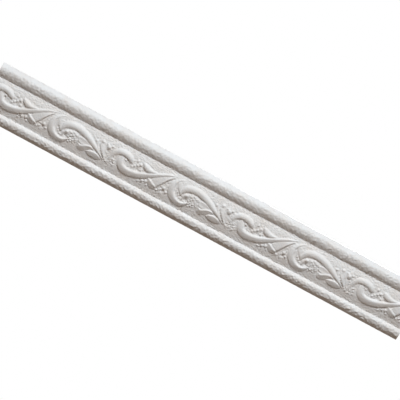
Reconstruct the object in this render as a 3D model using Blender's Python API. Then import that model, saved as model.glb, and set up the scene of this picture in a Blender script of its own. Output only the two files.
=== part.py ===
"""Self-adhesive foam moulding: one length of embossed wall border.

The strip runs along X and is fixed to a wall in the XZ plane, with its relief facing -Y.
The origin is the centre of its adhesive back. Lengths below are in millimetres, and every
mesh point is turned into metres as it is made.
"""

import math

import bmesh
import bpy

MM = 0.001

# Strip
REPEAT = 182.8
REPEATS = 3.5
LENGTH = REPEAT * REPEATS
WIDTH = 80.0
THICKNESS = 8.0
ADHESIVE = 0.3
GAP = 0.3
FOAM_BACK = ADHESIVE + GAP

# Section: a plain rail along each edge, and a cambered panel between them. A rail falls away from
# its crown to its thin outer edge and to its foot, and the panel falls away from its middle to the
# two feet, each by its own power.
EDGE_WALL = 2.4
UPPER_CROWN = 31.9
UPPER_FOOT = 21.3
UPPER_FOOT_DEPTH = 3.5
UPPER_CAMBER = 1.8
LOWER_CROWN = 29.4
LOWER_FOOT = 24.2
LOWER_FOOT_DEPTH = 4.2
LOWER_CAMBER = 3.0
PANEL_DEPTH = 7.0
OUTER_FALL = 2.1
INNER_FALL = 1.9
RAIL_STEPS = 5
PANEL_STEPS = 9

# Relief
RELIEF = 2.5
RISE = 0.5
ROOT = 0.5
ROOT_STEP = 0.06
ROOT_FLARE = 1.12
END_SPARE = 12.0

# Where the first repeat starts, measured from the strip's left end
FIRST_REPEAT = -107.0

# Cross-sections of the carving, from its right side to its left: (across, height), where 1 is
# the half width and the full height at that place
ROUND = ((-0.74, 0.66), (-0.28, 0.98), (0.28, 0.98), (0.74, 0.66))
SLENDER = ((-0.62, 0.78), (0.0, 1.0), (0.62, 0.78))
LIT_EDGE = ((-0.8, 0.42), (-0.35, 0.78), (0.2, 1.0), (0.76, 0.78))
DISH = ((-0.84, 0.95), (-0.4, 0.5), (0.4, 0.45), (0.8, 0.9))
SAIL = ((-0.82, 0.9), (-0.3, 0.8), (0.3, 0.72), (0.84, 0.55))

# Stations of each carved member: (along, across, half width, height), the heights as a share of
# RELIEF. The scroll's centre line is at 0 across, and lies RISE above the strip's own.
ARCH_STEM = (
    (33.2, -4.6, 0.9, 0.5),
    (34.2, 0.6, 3.0, 0.8),
    (37.8, 6.6, 4.8, 0.95),
    (45.6, 9.6, 5.2, 1.0),
    (55.0, 9.8, 5.0, 1.0),
    (64.2, 7.8, 4.9, 1.0),
    (72.8, 4.3, 4.5, 1.0),
    (81.4, -0.1, 3.7, 1.0),
    (89.4, -4.4, 2.7, 0.9),
    (96.2, -8.7, 1.6, 0.7),
    (101.4, -12.4, 0.6, 0.3),
)
C_SCROLL = (
    (31.0, 16.0, 0.8, 0.25),
    (24.6, 12.6, 1.8, 0.4),
    (19.2, 6.6, 3.2, 0.6),
    (17.8, 0.2, 4.9, 0.85),
    (19.4, -6.0, 5.3, 0.95),
    (24.0, -11.6, 5.0, 1.05),
    (30.4, -15.0, 4.3, 1.1),
    (37.4, -15.8, 3.4, 1.1),
    (43.0, -13.7, 2.5, 0.95),
    (46.2, -9.8, 0.8, 0.5),
)
ARCH_FLARE = (
    (33.2, -4.4, 0.9, 0.5),
    (31.8, -1.0, 1.9, 0.7),
    (30.2, 3.2, 3.8, 0.55),
    (28.6, 8.0, 5.2, 0.4),
    (28.2, 11.0, 4.8, 0.25),
)
INNER_LEAF = (
    (37.8, -7.8, 1.4, 0.5),
    (40.4, -3.6, 3.6, 0.65),
    (46.9, -2.0, 5.4, 0.7),
    (54.8, -2.0, 6.0, 0.65),
    (60.0, -4.4, 4.6, 0.4),
)
MIDDLE_LEAF = (
    (60.0, -4.5, 2.0, 0.4),
    (55.5, -7.6, 3.6, 0.5),
    (50.6, -10.8, 2.8, 0.4),
    (47.8, -12.6, 1.2, 0.25),
)
UPPER_DISH = (
    (79.0, -3.6, 0.8, 0.45),
    (74.4, -3.8, 3.0, 0.6),
    (69.2, -3.8, 5.0, 0.75),
    (65.6, -3.4, 5.4, 0.7),
    (63.6, -3.0, 4.4, 0.5),
)
DISH_LIP = (
    (62.3, -9.0, 1.4, 0.5),
    (65.8, -11.9, 4.2, 1.1),
    (70.0, -10.9, 4.6, 1.25),
    (75.2, -7.9, 4.0, 1.2),
    (80.4, -6.2, 2.6, 1.0),
    (86.0, -7.4, 0.7, 0.4),
)
ALMOND = (
    (76.6, -13.4, 0.7, 0.3),
    (81.2, -12.8, 3.4, 1.0),
    (87.5, -12.4, 4.6, 1.2),
    (93.4, -12.8, 3.3, 0.95),
    (98.2, -13.6, 0.7, 0.3),
)
INNER_LOBE = (
    (100.8, -11.4, 0.5, 0.3),
    (94.6, -6.6, 1.4, 0.6),
    (89.4, -2.0, 2.3, 0.6),
    (84.0, 6.0, 3.0, 0.3),
)
OUTER_LOBE = (
    (103.2, -10.6, 0.5, 0.3),
    (98.8, -6.2, 1.9, 0.95),
    (95.4, -1.6, 3.0, 1.05),
    (93.4, 3.4, 3.8, 0.7),
    (93.4, 8.6, 3.6, 0.35),
)
BUD = (
    (102.9, 12.6, 1.6, 0.3),
    (102.9, 9.0, 3.0, 0.65),
    (102.9, 6.4, 3.0, 1.1),
    (102.9, 4.6, 1.8, 0.7),
)
CRESCENT = (
    (109.5, -6.2, 1.0, 0.3),
    (110.0, -0.4, 2.8, 0.6),
    (113.4, 5.0, 3.9, 0.85),
    (118.4, 8.8, 4.5, 1.0),
    (126.2, 10.0, 4.8, 1.1),
    (132.8, 8.4, 4.7, 1.1),
    (137.3, 5.6, 3.9, 0.95),
    (139.4, 3.4, 2.0, 0.6),
)
WAVE_STEM = (
    (123.0, 2.6, 2.0, 0.6),
    (123.3, -2.0, 3.9, 0.95),
    (126.3, -7.3, 4.9, 1.05),
    (132.8, -10.2, 5.6, 1.1),
    (140.4, -10.8, 5.6, 1.1),
    (148.4, -9.4, 5.2, 1.1),
    (156.6, -6.6, 4.4, 1.05),
    (165.2, -2.4, 3.7, 1.0),
    (174.4, 2.5, 3.1, 0.95),
    (183.0, 7.7, 2.6, 0.9),
    (191.6, 12.4, 2.0, 0.8),
    (200.4, 15.4, 0.7, 0.4),
)
SIDE_LEAF = (
    (155.0, 9.6, 2.0, 0.7),
    (159.0, 6.6, 4.8, 1.15),
    (163.9, 4.9, 4.6, 1.2),
    (169.4, 5.1, 3.0, 0.95),
    (177.6, 7.0, 0.8, 0.4),
)
SAIL_LEAF = (
    (199.4, 13.4, 0.7, 0.5),
    (192.6, 8.2, 2.4, 0.85),
    (186.8, 3.0, 4.3, 0.95),
    (181.6, -2.2, 6.0, 0.9),
    (178.2, -6.3, 6.7, 0.8),
    (176.2, -9.4, 5.8, 0.5),
)
SAIL_LIP = (
    (167.9, -5.8, 1.4, 0.6),
    (171.2, -8.7, 3.8, 1.15),
    (174.8, -11.2, 4.5, 1.2),
    (179.0, -12.4, 3.6, 1.1),
    (181.8, -13.0, 1.2, 0.4),
)

MEMBERS = (
    ("arch_stem", ARCH_STEM, ROUND),
    ("c_scroll", C_SCROLL, LIT_EDGE),
    ("arch_flare", ARCH_FLARE, SLENDER),
    ("inner_leaf", INNER_LEAF, LIT_EDGE),
    ("middle_leaf", MIDDLE_LEAF, SLENDER),
    ("upper_dish", UPPER_DISH, DISH),
    ("dish_lip", DISH_LIP, LIT_EDGE),
    ("almond", ALMOND, LIT_EDGE),
    ("inner_lobe", INNER_LOBE, SLENDER),
    ("outer_lobe", OUTER_LOBE, SLENDER),
    ("bud", BUD, SLENDER),
    ("crescent", CRESCENT, ROUND),
    ("wave_stem", WAVE_STEM, ROUND),
    ("side_leaf", SIDE_LEAF, ROUND),
    ("sail_leaf", SAIL_LEAF, SAIL),
    ("sail_lip", SAIL_LIP, LIT_EDGE),
)

# Pearls and berries: (along, across the strip, radius)
PEARLS = (
    (10.2, -6.8, 2.4),
    (5.6, -11.0, 1.8),
    (14.2, -12.0, 1.9),
    (2.2, -13.8, 1.6),
    (29.6, -4.6, 1.6),
    (34.2, -8.6, 1.5),
    (42.2, -1.4, 2.3),
    (48.6, -7.6, 1.6),
    (84.4, 8.8, 1.9),
    (99.4, 9.6, 1.7),
    (106.4, 9.6, 1.7),
    (107.6, -12.8, 1.8),
    (115.6, -7.0, 1.7),
    (116.6, -13.0, 1.7),
    (130.2, 2.2, 1.8),
    (144.4, 1.0, 2.2),
    (150.8, 5.8, 2.7),
    (153.4, -0.6, 1.9),
    (161.6, -12.4, 2.0),
    (166.6, -11.0, 2.2),
)
PEARL_SIDES = 6
PEARL_RINGS = 4
PEARL_FLATNESS = 0.75
PEARL_LIFT = 0.3

# A span that turns by more than this gets a station of its own inside it
LEAST_BEND = math.radians(27)


def camber(across):
    """Depth of the panel's face in front of the wall, at a height across the strip."""
    foot, foot_depth, power = UPPER_FOOT, UPPER_FOOT_DEPTH, UPPER_CAMBER
    if across < 0:
        foot, foot_depth, power = LOWER_FOOT, LOWER_FOOT_DEPTH, LOWER_CAMBER
    share = min(abs(across) / foot, 1.0)
    return PANEL_DEPTH - (PANEL_DEPTH - foot_depth) * share**power


def rail_face(crown, foot, foot_depth):
    """Section points of one rail, from the back edge round its crown to the panel: (across, depth)."""
    points = [(WIDTH / 2, FOAM_BACK)]
    for step in range(RAIL_STEPS, -1, -1):
        share = step / RAIL_STEPS
        depth = THICKNESS - (THICKNESS - EDGE_WALL) * share**OUTER_FALL
        points.append((crown + (WIDTH / 2 - crown) * share, depth))
    for step in range(1, RAIL_STEPS + 1):
        share = step / RAIL_STEPS
        depth = THICKNESS - (THICKNESS - foot_depth) * share**INNER_FALL
        points.append((crown - (crown - foot) * share, depth))
    return points


def section():
    """The closed outline of the strip's section, round from its upper back edge: (across, depth)."""
    upper = rail_face(UPPER_CROWN, UPPER_FOOT, UPPER_FOOT_DEPTH)
    lower = rail_face(LOWER_CROWN, LOWER_FOOT, LOWER_FOOT_DEPTH)
    panel = []
    for step in range(1, PANEL_STEPS):
        across = UPPER_FOOT - (UPPER_FOOT + LOWER_FOOT) * step / PANEL_STEPS
        panel.append((across, camber(across)))
    return upper + panel + [(-across, depth) for across, depth in reversed(lower)]


def place(along, across, depth):
    """A point in metres: along the strip from its centre, up the wall, and out from the wall."""
    return (along * MM, -depth * MM, across * MM)


def material(name, colour, roughness):
    made = bpy.data.materials.new(name)
    made.use_nodes = True
    shader = made.node_tree.nodes["Principled BSDF"]
    shader.inputs["Base Color"].default_value = (*colour, 1.0)
    shader.inputs["Roughness"].default_value = roughness
    shader.inputs["Metallic"].default_value = 0.0
    return made


def link(name, bm, collection=None):
    bmesh.ops.recalc_face_normals(bm, faces=bm.faces[:])
    mesh = bpy.data.meshes.new(name)
    bm.to_mesh(mesh)
    bm.free()
    made = bpy.data.objects.new(name, mesh)
    (collection or bpy.context.scene.collection).objects.link(made)
    return made


def helper_collection(name):
    made = bpy.data.collections.new(name)
    bpy.context.scene.collection.children.link(made)
    return made


def helper(made):
    made.hide_render = True
    made.display_type = "WIRE"
    return made


def block(name, low, high, collection=None):
    bm = bmesh.new()
    bmesh.ops.create_cube(bm, size=1.0)
    for vert in bm.verts:
        vert.co = [lo if side < 0 else hi for side, lo, hi in zip(vert.co, low, high)]
    return link(name, bm, collection)


def turn(before, middle, after):
    """The angle a member turns through at its middle station, or 0 at its own end."""
    if before is middle or middle is after:
        return 0.0
    arriving = math.atan2(middle[1] - before[1], middle[0] - before[0])
    leaving = math.atan2(after[1] - middle[1], after[0] - middle[0])
    return abs(math.remainder(leaving - arriving, math.tau))


def smooth_stations(stations):
    """The stations with one more in each span that bends, on a Catmull-Rom curve through them."""
    ends = (stations[0], *stations, stations[-1])
    found = []
    for before, start, end, after in zip(ends, ends[1:], ends[2:], ends[3:]):
        found.append(start)
        if max(turn(before, start, end), turn(start, end, after)) > LEAST_BEND:
            found.append(tuple((9 * (s + e) - b - a) / 16 for b, s, e, a in zip(before, start, end, after)))
    return [*found, stations[-1]]


def carve(name, stations, profile, root, shift, collection):
    """One carved member, lofted along its stations and rooted in the panel to its own depth."""
    stations = smooth_stations(stations)
    bm = bmesh.new()
    rings = []
    for index, (along, across, half_width, height) in enumerate(stations):
        ahead = stations[min(index + 1, len(stations) - 1)]
        behind = stations[max(index - 1, 0)]
        run, rise = ahead[0] - behind[0], ahead[1] - behind[1]
        length = math.hypot(run, rise)
        side = (-rise / length, run / length)
        ring = []
        for share, lift in ((-ROOT_FLARE, None), *profile, (ROOT_FLARE, None)):
            u = along + side[0] * share * half_width
            v = RISE + across + side[1] * share * half_width
            proud = -root if lift is None else lift * height * RELIEF
            ring.append(bm.verts.new(place(u + shift, v, camber(v) + proud)))
        rings.append(ring)
    for first, second in zip(rings, rings[1:]):
        for a, b, c, d in zip(first, second, second[1:] + second[:1], first[1:] + first[:1]):
            bm.faces.new((a, b, c, d))
    bm.faces.new(rings[0])
    bm.faces.new(rings[-1][::-1])
    return helper(link(name, bm, collection))


def pearl(name, along, across, radius, collection):
    """A round berry, its pole facing out of the panel."""
    bm = bmesh.new()
    bmesh.ops.create_uvsphere(bm, u_segments=PEARL_SIDES, v_segments=PEARL_RINGS, radius=radius)
    surface = camber(RISE + across) + PEARL_LIFT
    for vert in bm.verts:
        u, v, out = vert.co
        vert.co = place(along + u, RISE + across + v, surface + out * PEARL_FLATNESS)
    return helper(link(name, bm, collection))


def ornament():
    """Every repeat of the scroll that reaches the strip, a little past both of its ends."""
    made = helper_collection("ornament")
    reach = LENGTH / 2 + END_SPARE / 2
    for repeat in range(math.ceil(REPEATS) + 2):
        shift = FIRST_REPEAT + REPEAT * repeat - LENGTH / 2
        for index, (name, stations, profile) in enumerate(MEMBERS):
            spread = [station[0] + shift for station in stations]
            if max(spread) > -reach and min(spread) < reach:
                carve(f"{name}_{repeat}", stations, profile, ROOT + ROOT_STEP * index, shift, made)
        for index, (along, across, radius) in enumerate(PEARLS):
            if abs(along + shift) < reach:
                pearl(f"pearl_{repeat}_{index}", along + shift, across, radius, made)
    return made


def end_cutters():
    """Blocks past the two ends, which leave the strip cut square."""
    made = helper_collection("end_cutters")
    far = (LENGTH / 2 + REPEAT) * MM
    near = LENGTH / 2 * MM
    reach = WIDTH * MM
    helper(block("left_saw", (-far, -reach, -reach), (-near, reach, reach), made))
    helper(block("right_saw", (near, -reach, -reach), (far, reach, reach), made))
    return made


def boolean(target, name, operation, collection):
    cut = target.modifiers.new(name, "BOOLEAN")
    cut.operand_type = "COLLECTION"
    cut.collection = collection
    cut.operation = operation
    cut.solver = "EXACT"


def foam_moulding():
    """The strip itself: its section run along X, with the scroll joined on and the ends cut."""
    bm = bmesh.new()
    half = LENGTH / 2 + END_SPARE
    outline = [bm.verts.new(place(-half, across, depth)) for across, depth in section()]
    face = bm.faces.new(outline)
    pushed = bmesh.ops.extrude_face_region(bm, geom=[face])["geom"]
    moved = [item for item in pushed if isinstance(item, bmesh.types.BMVert)]
    bmesh.ops.translate(bm, verts=moved, vec=(2 * half * MM, 0, 0))
    strip = link("foam_moulding", bm)
    strip.data.materials.append(material("white_foam", (0.86, 0.85, 0.83), 0.6))
    boolean(strip, "Carving", "UNION", ornament())
    boolean(strip, "Square ends", "DIFFERENCE", end_cutters())
    return strip


def adhesive_layer():
    """The adhesive film over the whole back."""
    low = (-LENGTH / 2 * MM, -ADHESIVE * MM, -WIDTH / 2 * MM)
    high = (LENGTH / 2 * MM, 0.0, WIDTH / 2 * MM)
    film = block("adhesive_layer", low, high)
    film.data.materials.append(material("adhesive_film", (0.80, 0.79, 0.74), 0.3))
    return film


for old in list(bpy.data.objects):
    bpy.data.objects.remove(old, do_unlink=True)

foam_moulding()
adhesive_layer()
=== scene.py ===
# Self-adhesive foam moulding: one length of embossed border, its relief facing the camera.
# Sizes in the dictionaries are in millimetres unless a note says otherwise.
import math

import bmesh
import bpy
import numpy as np
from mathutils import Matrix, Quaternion, Vector, noise


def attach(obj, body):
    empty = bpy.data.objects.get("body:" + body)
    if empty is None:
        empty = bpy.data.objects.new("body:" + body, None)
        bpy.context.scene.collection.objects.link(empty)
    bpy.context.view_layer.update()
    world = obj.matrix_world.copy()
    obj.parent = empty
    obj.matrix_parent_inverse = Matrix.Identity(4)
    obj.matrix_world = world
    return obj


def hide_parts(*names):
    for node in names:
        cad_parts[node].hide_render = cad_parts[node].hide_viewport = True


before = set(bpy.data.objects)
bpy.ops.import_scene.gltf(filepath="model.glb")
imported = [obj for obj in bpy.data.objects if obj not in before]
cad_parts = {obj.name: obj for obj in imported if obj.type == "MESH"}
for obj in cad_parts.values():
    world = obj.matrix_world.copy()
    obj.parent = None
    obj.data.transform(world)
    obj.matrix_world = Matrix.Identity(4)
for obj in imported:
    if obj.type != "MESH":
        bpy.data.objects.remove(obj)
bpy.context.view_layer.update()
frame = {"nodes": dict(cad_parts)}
print("frame loaded:", ", ".join(frame["nodes"]))

mm = 0.001


# Small helpers for materials

def newMaterial(name):
    made = bpy.data.materials.new(name)
    made.use_nodes = True
    made.node_tree.nodes.clear()
    return made


def addNode(tree, kind, **settings):
    # settings are the node's own properties, and those that start with in_ are socket values
    node = tree.nodes.new(kind)
    for key, value in settings.items():
        if key.startswith("in_"):
            node.inputs[key[3:].replace("_", " ")].default_value = value
        else:
            setattr(node, key, value)
    return node


def join(tree, outSocket, inSocket):
    tree.links.new(outSocket, inSocket)


def twoTones(tree, dark, light, places):
    # a ramp from one colour to another
    ramp = addNode(tree, "ShaderNodeValToRGB")
    for element, colour, place in zip(ramp.color_ramp.elements, (dark, light), places):
        element.position = place
        element.color = (*colour, 1)
    return ramp


# The strip's section: a round rail along each edge and a cambered panel between them

strip = dict(
    length=639.8,
    width=80.0,
    backDepth=0.34,       # the foam's back, just clear of the adhesive
    edgeWall=2.4,         # depth of the thin outer edge
    railDepth=8.0,
    # how steeply a rail falls away, from its crown to its outer edge
    railSlope=((0, 0), (0.15, 0.06), (0.3, 0.27), (0.45, 0.56), (0.6, 0.8), (0.8, 0.95), (1, 1.05)),
    # crown and foot lie that far from the middle; shape bends the panel's dip, side the rail's inner side
    upper=dict(crown=31.2, foot=21.36, footDepth=3.15, shape=2.6, side=2.05),
    lower=dict(crown=29.25, foot=24.75, footDepth=2.9, shape=2.6, side=2.0),
    panelCrown=0.0,       # where the panel stands highest
    panelDepth=7.0,
    columns=930,
    rows=102,
    railRows=0.6,         # how close the rows lie on a rail, against 1 on the panel
    railMargin=2.0,       # from each foot to where those rows set in
    footFade=2.0,         # over which the scroll dies out before each foot
    railPoints=80,        # the section is first drawn with this many points, and then evened out
    panelPoints=320,
)


def panelDepth(across):
    # the panel's own face: highest along its crown, and lowest at its two edges
    top = strip["panelCrown"]
    depth = np.zeros(across.shape)
    for rail, side in ((strip["upper"], 1), (strip["lower"], -1)):
        share = np.clip(side * (across - top) / (rail["foot"] - side * top), 0, 1)
        depth += (rail["footDepth"] - strip["panelDepth"]) * share ** rail["shape"]
    return strip["panelDepth"] + depth


def railSide(rail):
    # one rail from its outer edge over its crown to its foot: distances from the strip's middle, and depths
    crown, foot = rail["crown"], rail["foot"]
    share = np.linspace(0, 1, strip["railPoints"])
    slope = np.interp(share, *np.array(strip["railSlope"]).T)
    fall = np.concatenate([[0], np.cumsum((slope[1:] + slope[:-1]) / 2)])
    outerDepth = strip["railDepth"] - (strip["railDepth"] - strip["edgeWall"]) * fall / fall[-1]
    outer = crown + (strip["width"] / 2 - crown) * share
    inner = crown - (crown - foot) * share
    innerDepth = strip["railDepth"] - (strip["railDepth"] - rail["footDepth"]) * share**rail["side"]
    return np.concatenate([outer[::-1], inner[1:]]), np.concatenate([outerDepth[::-1], innerDepth[1:]])


def frontSection():
    # the whole front from the upper edge to the lower, in even steps that lie closer on the panel
    upper, upperDepth = railSide(strip["upper"])
    lower, lowerDepth = railSide(strip["lower"])
    upperFoot, lowerFoot = strip["upper"]["foot"], -strip["lower"]["foot"]
    panel = np.linspace(upperFoot, lowerFoot, strip["panelPoints"])[1:-1]
    across = np.concatenate([upper, panel, -lower[::-1]])
    depth = np.concatenate([upperDepth, panelDepth(panel), lowerDepth[::-1]])
    middle = (across[1:] + across[:-1]) / 2
    onRail = (middle > upperFoot + strip["railMargin"]) | (middle < lowerFoot - strip["railMargin"])
    crowd = np.where(onRail, strip["railRows"], 1.0)
    run = np.concatenate([[0], np.cumsum(np.hypot(np.diff(across), np.diff(depth)) * crowd)])
    even = np.linspace(0, run[-1], strip["rows"] + 1)
    return np.interp(even, run, across), np.interp(even, run, depth)


# The scroll: each carving is a stroke with stations (along, across, half width, share of the relief),
# and its cut is the stroke's own section from its right side to its left, as (sideways, height)

cuts = dict(
    round=((-1, 0), (-0.92, 0.26), (-0.78, 0.5), (-0.6, 0.7), (-0.38, 0.86), (-0.1, 0.97), (0.15, 1),
           (0.4, 0.92), (0.62, 0.74), (0.82, 0.46), (0.94, 0.2), (1, 0)),
    belly=((-1, 0), (-0.9, 0.3), (-0.76, 0.54), (-0.58, 0.74), (-0.34, 0.9), (0, 1), (0.25, 0.98),
           (0.55, 0.84), (0.82, 0.5), (1, 0)),
    ridge=((-1, 0), (-0.93, 0.3), (-0.82, 0.5), (-0.5, 0.64), (0.1, 0.82), (0.45, 0.94), (0.64, 1),
           (0.78, 0.92), (0.9, 0.54), (1, 0)),
    stem=((-1, 0), (-0.92, 0.34), (-0.8, 0.52), (-0.5, 0.7), (-0.1, 0.88), (0.2, 0.98), (0.4, 1),
          (0.64, 0.88), (0.86, 0.5), (1, 0)),
    lip=((-1, 0), (-0.88, 0.2), (-0.55, 0.44), (0, 0.74), (0.34, 0.95), (0.52, 1), (0.68, 0.93),
         (0.85, 0.56), (1, 0)),
    swell=((-1, 0), (-0.88, 0.18), (-0.6, 0.44), (-0.1, 0.78), (0.26, 0.96), (0.45, 1),
           (0.66, 0.86), (0.84, 0.48), (1, 0)),
    lobe=((-1, 0), (-0.86, 0.46), (-0.68, 0.84), (-0.5, 0.99), (-0.3, 1), (0, 0.84), (0.5, 0.46), (1, 0)),
    sail=((-1, 0), (-0.9, 0.4), (-0.78, 0.58), (-0.2, 0.7), (0.35, 0.84), (0.6, 0.88), (0.78, 0.76),
          (0.9, 0.42), (1, 0)),
    dish=((-1, 0), (-0.92, 0.5), (-0.8, 0.78), (-0.7, 0.82), (-0.4, 0.7), (0, 0.68), (0.25, 0.8),
          (0.46, 0.98), (0.58, 0.96), (0.8, 0.52), (1, 0)),
)

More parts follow.
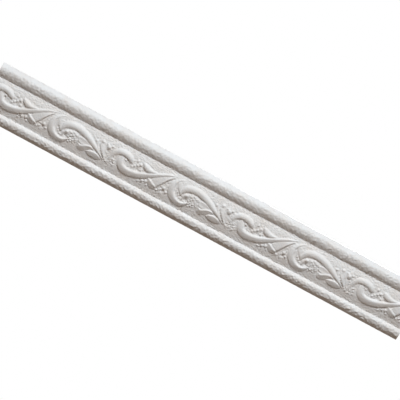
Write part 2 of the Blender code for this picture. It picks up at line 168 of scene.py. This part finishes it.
scroll = dict(
    repeat=182.8,
    start=-244.1,         # where one repeat starts along the strip
    repeats=range(-1, 4),
    overrun=12.0,         # how far past the strip's ends a carving is still drawn
    rise=0.5,             # how far the scroll lies above the middle of the strip
    relief=2.5,
    blend=0.25,           # how softly two carvings run together
    blendFrom=0.05,       # both have to be this high for that
    spare=0.5,            # looked at round each carving, beyond its widest place
    carvings=dict(
        archStem=("round", (
            (33.2, -4.6, 0.9, 0.5), (34.2, 0.6, 3.0, 0.8), (37.8, 6.6, 4.8, 0.95), (45.6, 9.6, 5.2, 1.0),
            (55.0, 9.8, 5.0, 1.0), (64.2, 7.8, 4.9, 1.0), (72.8, 4.3, 4.5, 1.0), (81.4, -0.1, 3.7, 1.0),
            (89.4, -4.4, 2.7, 0.9), (96.2, -8.7, 1.6, 0.7), (101.4, -12.4, 0.6, 0.3))),
        cScroll=("stem", (
            (31.0, 16.0, 0.8, 0.25), (24.6, 12.6, 1.8, 0.4), (19.6, 6.6, 2.9, 0.6), (18.8, 0.2, 4.1, 0.85),
            (19.9, -6.0, 4.8, 0.95), (24.2, -11.5, 4.9, 1.05), (30.4, -15.0, 4.3, 1.1),
            (37.4, -15.8, 3.4, 1.1), (43.0, -13.7, 2.5, 0.95), (46.2, -9.8, 0.8, 0.5))),
        archFlare=("round", (
            (33.2, -4.4, 0.9, 0.5), (31.8, -1.0, 1.9, 0.7), (30.2, 3.2, 3.8, 0.55), (28.6, 8.0, 5.2, 0.35),
            (28.2, 11.0, 5.0, 0.2))),
        innerLeaf=("swell", (
            (37.8, -7.8, 1.4, 0.5), (40.4, -3.6, 3.6, 0.65), (46.9, -2.2, 5.6, 0.5), (54.8, -2.4, 6.4, 0.4),
            (60.0, -4.6, 5.0, 0.35))),
        middleLeaf=("round", (
            (60.0, -4.5, 2.0, 0.3), (55.5, -7.2, 4.0, 0.25), (50.6, -10.2, 3.4, 0.15),
            (47.8, -12.2, 2.0, 0.1))),
        upperDish=("dish", (
            (79.0, -3.6, 0.8, 0.45), (74.4, -3.8, 3.0, 0.6), (69.2, -3.8, 5.0, 0.75), (65.6, -3.4, 5.4, 0.7),
            (63.6, -3.0, 4.4, 0.5))),
        dishLip=("lip", (
            (62.3, -9.0, 1.4, 0.5), (65.8, -11.9, 4.2, 1.1), (70.0, -10.9, 4.6, 1.15), (75.2, -7.9, 4.0, 1.1),
            (80.4, -6.2, 2.6, 1.05), (86.0, -7.4, 0.7, 0.4))),
        almond=("ridge", (
            (76.6, -13.4, 0.7, 0.3), (81.2, -12.8, 3.4, 0.95), (87.5, -12.4, 4.6, 1.1),
            (93.4, -12.8, 3.3, 0.95), (98.2, -13.6, 0.7, 0.3))),
        innerLobe=("lobe", (
            (100.8, -11.4, 0.5, 0.3), (94.6, -6.6, 1.4, 0.6), (89.4, -2.0, 2.3, 0.6), (85.4, 3.2, 3.2, 0.4),
            (84.0, 7.2, 3.0, 0.25))),
        outerLobe=("round", (
            (103.2, -10.6, 0.5, 0.3), (98.8, -6.2, 2.1, 0.95), (95.4, -1.6, 3.5, 1.05),
            (93.6, 3.4, 4.2, 0.65), (93.4, 8.6, 4.0, 0.3))),
        bud=("round", (
            (102.9, 13.0, 2.0, 0.2), (102.7, 10.4, 3.0, 0.35), (102.5, 8.4, 3.2, 0.4))),
        crescent=("belly", (
            (109.5, -6.2, 1.0, 0.1), (110.2, -0.2, 2.4, 0.3), (113.4, 5.0, 3.6, 0.55),
            (118.4, 8.8, 4.4, 0.85), (126.4, 9.8, 4.6, 1.1), (133.0, 8.2, 4.5, 1.1),
            (136.9, 5.4, 3.6, 0.95), (138.3, 3.6, 2.2, 0.7))),
        waveStem=("stem", (
            (123.4, 3.0, 2.4, 0.4), (123.9, -1.6, 4.2, 0.8), (126.8, -7.5, 5.0, 1.05),
            (132.8, -10.6, 5.4, 1.1), (140.4, -11.0, 5.2, 1.1), (148.4, -9.5, 4.8, 1.1),
            (156.4, -7.0, 4.5, 1.05), (165.2, -2.4, 3.7, 1.0), (174.4, 2.5, 3.1, 0.95),
            (183.0, 7.2, 2.6, 0.9), (191.4, 11.6, 2.0, 0.8), (200.0, 14.5, 0.7, 0.4))),
        sideLeaf=("belly", (
            (155.4, 9.3, 2.2, 0.9), (159.0, 6.6, 4.3, 1.08), (163.9, 4.9, 4.1, 1.1), (169.4, 5.1, 2.8, 0.95),
            (177.6, 7.0, 0.8, 0.4))),
        sailLeaf=("sail", (
            (199.0, 12.4, 0.7, 0.5), (192.2, 7.2, 2.4, 0.85), (186.8, 2.3, 4.3, 0.95),
            (181.6, -2.8, 6.0, 0.9), (178.2, -6.3, 6.7, 0.8), (176.2, -9.4, 5.8, 0.5))),
        sailLip=("lip", (
            (167.9, -5.8, 1.4, 0.6), (171.2, -8.7, 3.8, 1.1), (174.8, -11.2, 4.5, 1.15),
            (179.0, -12.4, 3.6, 1.1), (181.8, -13.0, 1.2, 0.4))),
    ),
    berries=(             # along, across, radius
        # the bud's ball, and the cluster before the C scroll
        (102.5, 6.4, 3.5), (10.0, -7.4, 2.5), (4.6, -12.2, 1.6), (14.2, -11.6, 1.8), (1.4, -14.4, 1.5),
        (7.4, -15.8, 1.2),
        # inside the C scroll, and the ball under the arch
        (28.6, -3.2, 1.3), (30.8, -6.0, 1.2), (34.0, -8.4, 1.3), (37.6, -9.2, 1.3), (42.2, -1.4, 2.4),
        # the cluster under the arch
        (48.4, 0.2, 1.5), (52.8, 2.0, 1.4), (52.4, -2.0, 1.5), (49.2, -4.0, 1.4), (56.2, 0.2, 1.5),
        (55.6, -4.2, 1.4), (46.6, -7.0, 1.4), (49.8, -8.4, 1.3), (47.6, -10.2, 1.2), (51.6, -11.2, 1.4),
        (49.0, -13.2, 1.2), (53.6, -8.8, 1.2), (56.6, -6.4, 1.3), (55.4, -11.6, 1.2), (58.6, -9.0, 1.2),
        (45.6, -12.0, 1.1),
        # over the fan, and below it
        (83.4, 7.0, 1.9), (91.8, 10.4, 2.4), (99.4, 9.6, 1.8), (106.8, 9.6, 1.8), (105.8, -12.4, 1.7),
        (102.6, -11.0, 1.3), (114.4, -5.6, 1.5), (116.6, -9.0, 1.5), (116.6, -13.0, 1.7),
        # between the crescent, the wave stem and the side leaf
        (130.2, 2.2, 1.5), (144.0, 0.6, 1.9), (141.4, -1.8, 1.7), (147.4, 3.2, 1.8), (150.8, 5.8, 2.5),
        (145.6, 9.2, 1.8), (153.6, -0.6, 2.0),
        # below the wave stem
        (161.6, -12.4, 2.0), (166.6, -11.0, 2.4), (156.4, -15.6, 1.6), (169.0, -15.0, 1.4)),
    berry=dict(           # a berry's height grows with its radius, up to the highest
        low=0.5, growth=0.42, highest=1.65,
        roundness=0.7,
        keeps=0.85),      # share of the height below it that it stands on
    hollows=(             # along, across, radius, depth
        (9.4, -12.0, 2.4, 0.9), (41.6, -7.2, 2.8, 1.0), (59.8, -3.2, 1.5, 1.0), (148.6, -2.6, 2.6, 1.2),
        (130.6, -0.4, 1.8, 0.6), (33.4, -6.8, 1.8, 0.4), (102.9, 1.4, 1.6, 0.2), (109.0, -9.4, 1.2, 0.7),
        (109.4, -12.2, 1.2, 0.7),
        # the groove between the fan's two lobes
        (90.2, 1.2, 1.5, 1.1), (92.6, -1.2, 1.5, 1.3), (95.0, -3.7, 1.5, 1.3), (97.3, -6.1, 1.4, 1.1),
        (99.4, -8.3, 1.2, 0.8)),
    hollowFall=1.6,       # how fast a hollow dies out round its middle
    beaded=(              # patches of coarser skin: along, across, radius
        (50.0, -10.0, 7.0), (111.0, -11.0, 8.0), (160.0, -14.0, 7.0), (5.0, -11.0, 6.0)),
    skin=dict(            # the foam's own pebbling; pairs say where a change sets in and where it ends
        coarse=0.52, coarseSize=2.2, coarseSlice=3.1,
        fine=0.5, fineSize=1.2, fineSlice=7.7,
        rail=(14.0, 20.0), drawnOut=0.55, upperGrain=1.8, lowerGrain=2.4, railCoarse=0.75,
        carved=(0.0, 1.2), smoothCarving=0.7,
        beads=1.4,
        bandMiddle=-19.5, band=(2.0, 6.0), smoothBand=0.55,
        edge=(35.0, 38.0), smoothEdge=0.5),
)


def smoothPath(stations, step=0.8):
    # points on a Catmull-Rom curve through the stations, about one step apart
    points = np.array(stations, float)
    ends = np.vstack([2 * points[0] - points[1], points, 2 * points[-1] - points[-2]])
    found = []
    for before, start, end, after in zip(ends, ends[1:], ends[2:], ends[3:]):
        count = max(2, int(np.hypot(*(end - start)[:2]) / step))
        t = (np.arange(count) / count)[:, None]
        found.append(0.5 * (2 * start + (end - before) * t + (2 * before - 5 * start + 4 * end - after) * t**2
                            + (3 * start - before - 3 * end + after) * t**3))
    return np.vstack(found + [points[-1:]])


def strokeHeight(along, across, path, cut):
    # height of one carving at each place: how far the place is from the stroke's line, in half widths
    nearest = np.full(along.shape, np.inf)
    sideways = np.zeros(along.shape)
    proud = np.zeros(along.shape)
    for start, end in zip(path, path[1:]):
        step = end[:2] - start[:2]
        t = np.clip(((along - start[0]) * step[0] + (across - start[1]) * step[1]) / (step @ step), 0, 1)
        dx = along - start[0] - t * step[0]
        dy = across - start[1] - t * step[1]
        far = np.hypot(dx, dy) / (start[2] + (end[2] - start[2]) * t)
        closer = far < nearest
        nearest = np.where(closer, far, nearest)
        sideways = np.where(closer, np.sign(step[0] * dy - step[1] * dx) * far, sideways)
        proud = np.where(closer, start[3] + (end[3] - start[3]) * t, proud)
    shape = np.array(cut, float)
    return np.interp(sideways, shape[:, 0], shape[:, 1], left=0, right=0) * proud


def carvedHeight(along, across):
    # height of the whole scroll over a flat list of places
    height = np.zeros(along.shape)
    across = across - scroll["rise"]
    reach = strip["length"] / 2 + scroll["overrun"]
    shifts = [scroll["start"] + scroll["repeat"] * turn for turn in scroll["repeats"]]
    blend = scroll["blend"]
    berry = scroll["berry"]
    for cutName, stations in scroll["carvings"].values():
        path = smoothPath(stations)
        spare = path[:, 2].max() + scroll["spare"]
        for shift in shifts:
            low = path[:, :2].min(axis=0) + (shift - spare, -spare)
            high = path[:, :2].max(axis=0) + (shift + spare, spare)
            if low[0] > reach or high[0] < -reach:
                continue
            near = (along > low[0]) & (along < high[0]) & (across > low[1]) & (across < high[1])
            own = strokeHeight(along[near] - shift, across[near], path, cuts[cutName]) * scroll["relief"]
            old = height[near]
            soft = np.clip(blend - np.abs(own - old), 0, None) ** 2 / (4 * blend)
            both = np.minimum(own, old) > scroll["blendFrom"]
            height[near] = np.maximum(own, old) + np.where(both, soft, 0)
    for shift in shifts:
        for u, v, radius, deep in scroll["hollows"]:
            away = ((along - u - shift) ** 2 + (across - v) ** 2) / radius**2
            height -= deep * np.exp(-scroll["hollowFall"] * away)
        for u, v, radius in scroll["berries"]:
            away = ((along - u - shift) ** 2 + (across - v) ** 2) / radius**2
            near = away < 1
            tall = min(berry["low"] + radius * berry["growth"], berry["highest"])
            dome = (1 - away[near]) ** berry["roundness"] * tall
            height[near] = np.maximum(height[near] * berry["keeps"] + dome, height[near])
    return height


def ramp(value, start, end):
    # 0 up to the start, 1 from the end on, and even in between
    return min(max((value - start) / (end - start), 0), 1)


def foamSkin(along, across, carved):
    # the low, uneven pebbling of the foam's skin, drawn out lengthwise on the rails and beside them
    skin = scroll["skin"]
    onRail = ramp(abs(across), *skin["rail"])
    stretch = 1 - skin["drawnOut"] * onRail
    coarseSize, fineSize = skin["coarseSize"], skin["fineSize"]
    coarse = noise.noise((along / coarseSize * stretch, across / coarseSize, skin["coarseSlice"]))
    fine = noise.noise((along / fineSize * stretch, across / fineSize, skin["fineSlice"]))
    strength = 1 - skin["smoothCarving"] * ramp(carved, *skin["carved"])
    place = (along - scroll["start"]) % scroll["repeat"]
    for u, v, radius in scroll["beaded"]:
        away = math.hypot(place - u, across - scroll["rise"] - v) / radius
        strength += skin["beads"] * max(1 - away, 0)
    # smoother in the band just above the lower rail, and along the outer edges
    strength *= 1 - skin["smoothBand"] * (1 - ramp(abs(across - skin["bandMiddle"]), *skin["band"]))
    strength *= 1 - skin["smoothEdge"] * ramp(abs(across), *skin["edge"])
    railGrain = skin["lowerGrain"] if across < 0 else skin["upperGrain"]
    grain = 1 + (railGrain - 1) * onRail
    broad = 1 + (skin["railCoarse"] - 1) * onRail
    return (skin["coarse"] * broad * coarse + skin["fine"] * grain * fine) * strength


def makeFoamStrip():
    columns, rows = strip["columns"], strip["rows"]
    across, depth = frontSection()
    along = np.linspace(-strip["length"] / 2, strip["length"] / 2, columns + 1)
    alongGrid, acrossGrid = np.meshgrid(along, across, indexing="ij")
    fromFoot = np.minimum(strip["upper"]["foot"] - acrossGrid, strip["lower"]["foot"] + acrossGrid)
    height = carvedHeight(alongGrid.ravel(), acrossGrid.ravel()).reshape(alongGrid.shape)
    height *= np.clip(fromFoot / strip["footFade"], 0, 1)
    sheet = bmesh.new()
    bmesh.ops.create_grid(sheet, x_segments=columns, y_segments=rows, size=0.5)
    for vert in sheet.verts:
        column = round((vert.co.x + 0.5) * columns)
        row = round((0.5 - vert.co.y) * rows)
        u, v = along[column], across[row]
        out = depth[row] + height[column, row] + foamSkin(u, v, height[column, row])
        vert.co = (u * mm, -out * mm, v * mm)
    print("foam strip: front drawn with", len(sheet.verts), "points")
    for face in sheet.faces:
        face.smooth = True
    rim = [edge for edge in sheet.edges if edge.is_boundary]
    walls = bmesh.ops.extrude_edge_only(sheet, edges=rim)["geom"]
    for vert in [item for item in walls if isinstance(item, bmesh.types.BMVert)]:
        vert.co.y = -strip["backDepth"] * mm
    for edge in rim:
        edge.smooth = False
    back = [edge for edge in sheet.edges if edge.is_boundary]
    for face in bmesh.ops.holes_fill(sheet, edges=back, sides=0)["faces"]:
        face.material_index = 1      # cut foam, behind the adhesive
    bmesh.ops.recalc_face_normals(sheet, faces=sheet.faces[:])
    mesh = bpy.data.meshes.new("foamStrip")
    sheet.to_mesh(mesh)
    sheet.free()
    made = bpy.data.objects.new("foamStrip", mesh)
    bpy.context.scene.collection.objects.link(made)
    return made


# Finishes

foamFinish = dict(
    colour=(0.866, 0.87, 0.874),
    shade=(0.835, 0.815, 0.798),
    tonePlaces=(0.3, 0.6),           # where the patches turn from shade to colour
    patchesPerMetre=60.0,
    patchDetail=4.0,
    roughness=(0.5, 0.68),
    specular=0.35,
    pebbleSize=1.3,
    pebbleDetail=2.0,
    wrinkleSize=1.1,
    wrinkleDetail=3.0,
    wrinkleStretch=(0.45, 1.0, 1.0),
    wrinklesFrom=(0.0215, 0.0240),   # metres from the middle, where pebbles give way to wrinkles
    bump=0.0003,                     # metres
    bumpStrength=0.7,
)


def foamMaterial():
    finish = foamFinish
    made = newMaterial("whiteFoam")
    tree = made.node_tree
    out = addNode(tree, "ShaderNodeOutputMaterial")
    shader = addNode(tree, "ShaderNodeBsdfPrincipled")
    join(tree, shader.outputs["BSDF"], out.inputs["Surface"])
    place = addNode(tree, "ShaderNodeTexCoord")
    # pebbles on the panel
    pebbles = addNode(tree, "ShaderNodeTexNoise",
                      in_Scale=1 / (finish["pebbleSize"] * mm), in_Detail=finish["pebbleDetail"])
    join(tree, place.outputs["Object"], pebbles.inputs["Vector"])
    # wrinkles drawn out along the rails
    stretch = addNode(tree, "ShaderNodeMapping", in_Scale=finish["wrinkleStretch"])
    join(tree, place.outputs["Object"], stretch.inputs["Vector"])
    wrinkles = addNode(tree, "ShaderNodeTexNoise",
                       in_Scale=1 / (finish["wrinkleSize"] * mm), in_Detail=finish["wrinkleDetail"])
    join(tree, stretch.outputs["Vector"], wrinkles.inputs["Vector"])
    # how far from the middle a point is says whether it lies on a rail
    split = addNode(tree, "ShaderNodeSeparateXYZ")
    join(tree, place.outputs["Object"], split.inputs["Vector"])
    height = addNode(tree, "ShaderNodeMath", operation="ABSOLUTE")
    join(tree, split.outputs["Z"], height.inputs[0])
    panelEnds, railStarts = finish["wrinklesFrom"]
    rail = addNode(tree, "ShaderNodeMapRange", in_From_Min=panelEnds, in_From_Max=railStarts)
    join(tree, height.outputs["Value"], rail.inputs["Value"])
    skin = addNode(tree, "ShaderNodeMix", data_type="FLOAT")
    join(tree, rail.outputs["Result"], skin.inputs[0])
    join(tree, pebbles.outputs["Fac"], skin.inputs[2])
    join(tree, wrinkles.outputs["Fac"], skin.inputs[3])
    bump = addNode(tree, "ShaderNodeBump", in_Strength=finish["bumpStrength"], in_Distance=finish["bump"])
    join(tree, skin.outputs[0], bump.inputs["Height"])
    join(tree, bump.outputs["Normal"], shader.inputs["Normal"])
    # soft patches of tone, and a smoother or duller skin
    patches = addNode(tree, "ShaderNodeTexNoise",
                      in_Scale=finish["patchesPerMetre"], in_Detail=finish["patchDetail"])
    join(tree, place.outputs["Object"], patches.inputs["Vector"])
    tone = twoTones(tree, finish["shade"], finish["colour"], finish["tonePlaces"])
    join(tree, patches.outputs["Fac"], tone.inputs["Fac"])
    join(tree, tone.outputs["Color"], shader.inputs["Base Color"])
    smoothest, dullest = finish["roughness"]
    dull = addNode(tree, "ShaderNodeMapRange", in_To_Min=smoothest, in_To_Max=dullest)
    join(tree, skin.outputs[0], dull.inputs["Value"])
    join(tree, dull.outputs["Result"], shader.inputs["Roughness"])
    shader.inputs["Specular IOR Level"].default_value = finish["specular"]
    return made


cutFinish = dict(
    # painted shade: the darker colour laid into the cells' hollows
    wall=(0.74, 0.73, 0.70),
    cell=(0.87, 0.86, 0.84),
    tonePlaces=(0.0, 0.5),
    roughness=0.8,
    cellsPerMetre=1600.0,
    bump=0.0002,          # metres
    bumpStrength=0.8,
)


def cutFoamMaterial():
    # the flat back, where the foam is cut and its closed cells show; the cells' hollows, where the bump lies
    # lowest, are painted darker as shade
    finish = cutFinish
    made = newMaterial("cutFoam")
    tree = made.node_tree
    out = addNode(tree, "ShaderNodeOutputMaterial")
    shader = addNode(tree, "ShaderNodeBsdfPrincipled", in_Roughness=finish["roughness"])
    join(tree, shader.outputs["BSDF"], out.inputs["Surface"])
    place = addNode(tree, "ShaderNodeTexCoord")
    cells = addNode(tree, "ShaderNodeTexVoronoi", in_Scale=finish["cellsPerMetre"])
    join(tree, place.outputs["Object"], cells.inputs["Vector"])
    # painted shade: darker at the cells' middles, where the bump is lowest, and the foam's own colour on
    # their rims
    tone = twoTones(tree, finish["wall"], finish["cell"], finish["tonePlaces"])
    join(tree, cells.outputs["Distance"], tone.inputs["Fac"])
    join(tree, tone.outputs["Color"], shader.inputs["Base Color"])
    bump = addNode(tree, "ShaderNodeBump", in_Strength=finish["bumpStrength"], in_Distance=finish["bump"])
    join(tree, cells.outputs["Distance"], bump.inputs["Height"])
    join(tree, bump.outputs["Normal"], shader.inputs["Normal"])
    return made


adhesiveFinish = dict(
    colour=(0.80, 0.79, 0.74),
    thin=(0.72, 0.70, 0.63),
    tonePlaces=(0.35, 0.65),
    streaksPerMetre=60.0,
    streakDetail=4.0,
    roughness=(0.22, 0.42),
    threadSize=3.0,
    threadLeans=(45, -45),           # degrees
    waveBands=0.31,                  # scale at which a wave texture has one band in each unit
    bump=0.0001,                     # metres
    bumpStrength=0.3,
)


def adhesiveMaterial():
    # milky tacky film with a fine scrim in it, and thinner patches
    finish = adhesiveFinish
    made = newMaterial("milkyAdhesive")
    tree = made.node_tree
    out = addNode(tree, "ShaderNodeOutputMaterial")
    shader = addNode(tree, "ShaderNodeBsdfPrincipled")
    join(tree, shader.outputs["BSDF"], out.inputs["Surface"])
    place = addNode(tree, "ShaderNodeTexCoord")
    threads = []
    for lean in finish["threadLeans"]:
        turned = addNode(tree, "ShaderNodeMapping", in_Rotation=(0, math.radians(lean), 0))
        join(tree, place.outputs["Object"], turned.inputs["Vector"])
        waveScale = finish["waveBands"] / (finish["threadSize"] * mm)
        wave = addNode(tree, "ShaderNodeTexWave", in_Scale=waveScale)
        join(tree, turned.outputs["Vector"], wave.inputs["Vector"])
        threads.append(wave)
    scrim = addNode(tree, "ShaderNodeMath", operation="MAXIMUM")
    join(tree, threads[0].outputs["Fac"], scrim.inputs[0])
    join(tree, threads[1].outputs["Fac"], scrim.inputs[1])
    streaks = addNode(tree, "ShaderNodeTexNoise",
                      in_Scale=finish["streaksPerMetre"], in_Detail=finish["streakDetail"])
    join(tree, place.outputs["Object"], streaks.inputs["Vector"])
    tone = twoTones(tree, finish["thin"], finish["colour"], finish["tonePlaces"])
    join(tree, streaks.outputs["Fac"], tone.inputs["Fac"])
    join(tree, tone.outputs["Color"], shader.inputs["Base Color"])
    glossiest, dullest = finish["roughness"]
    gloss = addNode(tree, "ShaderNodeMapRange", in_To_Min=glossiest, in_To_Max=dullest)
    join(tree, streaks.outputs["Fac"], gloss.inputs["Value"])
    join(tree, gloss.outputs["Result"], shader.inputs["Roughness"])
    bump = addNode(tree, "ShaderNodeBump", in_Strength=finish["bumpStrength"], in_Distance=finish["bump"])
    join(tree, scrim.outputs["Value"], bump.inputs["Height"])
    join(tree, bump.outputs["Normal"], shader.inputs["Normal"])
    return made


foamStrip = makeFoamStrip()
foamStrip.data.materials.append(foamMaterial())
foamStrip.data.materials.append(cutFoamMaterial())
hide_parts("foam_moulding")
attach(foamStrip, "root")
print("foam strip: finished")

adhesive = frame["nodes"]["adhesive_layer"]
film = adhesiveMaterial()
for slot in adhesive.material_slots:
    slot.material = film
print("adhesive: finished")


# Stage: pale floor, six soft lights, camera at the photograph's angle

stage = dict(
    floorHeight=-0.30,    # metres, as are the sizes below
    floorSize=14.0,
    bounce=(0.235, 0.19, 0.16),      # colour of the light that the floor gives back
    lightDistance=2.2,
    lightSize=(0.8, 0.5),
    keyHeight=54,         # degrees above the strip's face
    lights=dict(          # power in watts, colour and side; the key's side follows from its height
        key=(43.9, (0.957, 0.985, 1.0), None),
        above=(4.0, (0.78, 0.91, 1.0), (0, -0.04, 1)),
        front=(3.2, (1.0, 0.6, 0.32), (0, -1, -0.1)),
        behind=(38.0, (1, 1, 1), (0.25, 1, 0.25)),
        leftEnd=(8.0, (1, 1, 1), (-1, 0.5, 0.15)),
        rightEnd=(8.0, (1, 1, 1), (1, 0.5, 0.15)),
    ),
)


def seenWhite(tree, white, out):
    # white to the camera alone; gives back the socket for what all other light meets
    rays = addNode(tree, "ShaderNodeLightPath")
    mix = addNode(tree, "ShaderNodeMixShader")
    join(tree, rays.outputs["Is Camera Ray"], mix.inputs[0])
    join(tree, white, mix.inputs[2])
    join(tree, mix.outputs[0], out)
    return mix.inputs[1]


def makeFloor():
    bpy.ops.mesh.primitive_plane_add(size=stage["floorSize"], location=(0, 0, stage["floorHeight"]))
    made = bpy.context.object
    made.name = "paleFloor"
    paper = newMaterial("paleFloor")
    tree = paper.node_tree
    out = addNode(tree, "ShaderNodeOutputMaterial")
    white = addNode(tree, "ShaderNodeEmission", in_Strength=1.0)
    matt = addNode(tree, "ShaderNodeBsdfDiffuse", in_Color=(*stage["bounce"], 1))
    unseen = seenWhite(tree, white.outputs["Emission"], out.inputs["Surface"])
    join(tree, matt.outputs["BSDF"], unseen)
    made.data.materials.append(paper)


def makeWorld():
    world = bpy.data.worlds.new("softRoom")
    world.use_nodes = True
    tree = world.node_tree
    tree.nodes.clear()
    out = addNode(tree, "ShaderNodeOutputWorld")
    white = addNode(tree, "ShaderNodeBackground", in_Color=(1, 1, 1, 1), in_Strength=1.0)
    seenWhite(tree, white.outputs["Background"], out.inputs["Surface"])     # the room itself gives no light
    bpy.context.scene.world = world


def makeLights():
    lift = math.radians(stage["keyHeight"])
    keySide = (0, -math.cos(lift), math.sin(lift))
    for name, (power, colour, side) in stage["lights"].items():
        data = bpy.data.lights.new(name, "AREA")
        data.shape = "RECTANGLE"
        data.energy = power
        data.color = colour
        data.size, data.size_y = stage["lightSize"]
        lamp = bpy.data.objects.new(name, data)
        bpy.context.scene.collection.objects.link(lamp)
        lamp.location = Vector(side or keySide).normalized() * stage["lightDistance"]
        lamp.rotation_euler = (-lamp.location).to_track_quat("-Z", "Y").to_euler()


view = dict(
    aim=(-0.0013, -0.008, 0.0028),   # metres
    lens=240,
    sensor=36,
    picture=400,          # pixels across the photograph
    pixelsPerMetre=746.0,
    elevation=12.0,       # degrees, as is the roll
    roll=28.31,
    farthest=100,         # metres
)


def makeCamera():
    data = bpy.data.cameras.new("camera")
    data.lens = view["lens"]
    data.sensor_width = view["sensor"]
    data.clip_end = view["farthest"]
    made = bpy.data.objects.new("camera", data)
    bpy.context.scene.collection.objects.link(made)
    distance = view["picture"] / view["pixelsPerMetre"] * view["lens"] / view["sensor"]
    lift = math.radians(view["elevation"])
    back = Vector((0, -math.cos(lift), math.sin(lift)))
    made.location = Vector(view["aim"]) + back * distance
    level = (-back).to_track_quat("-Z", "Y")
    made.rotation_euler = (level @ Quaternion((0, 0, 1), math.radians(view["roll"]))).to_euler()
    bpy.context.scene.camera = made


makeFloor()
makeWorld()
makeLights()
makeCamera()
bpy.context.scene.view_settings.view_transform = "Standard"
print("stage: floor, light and camera set")
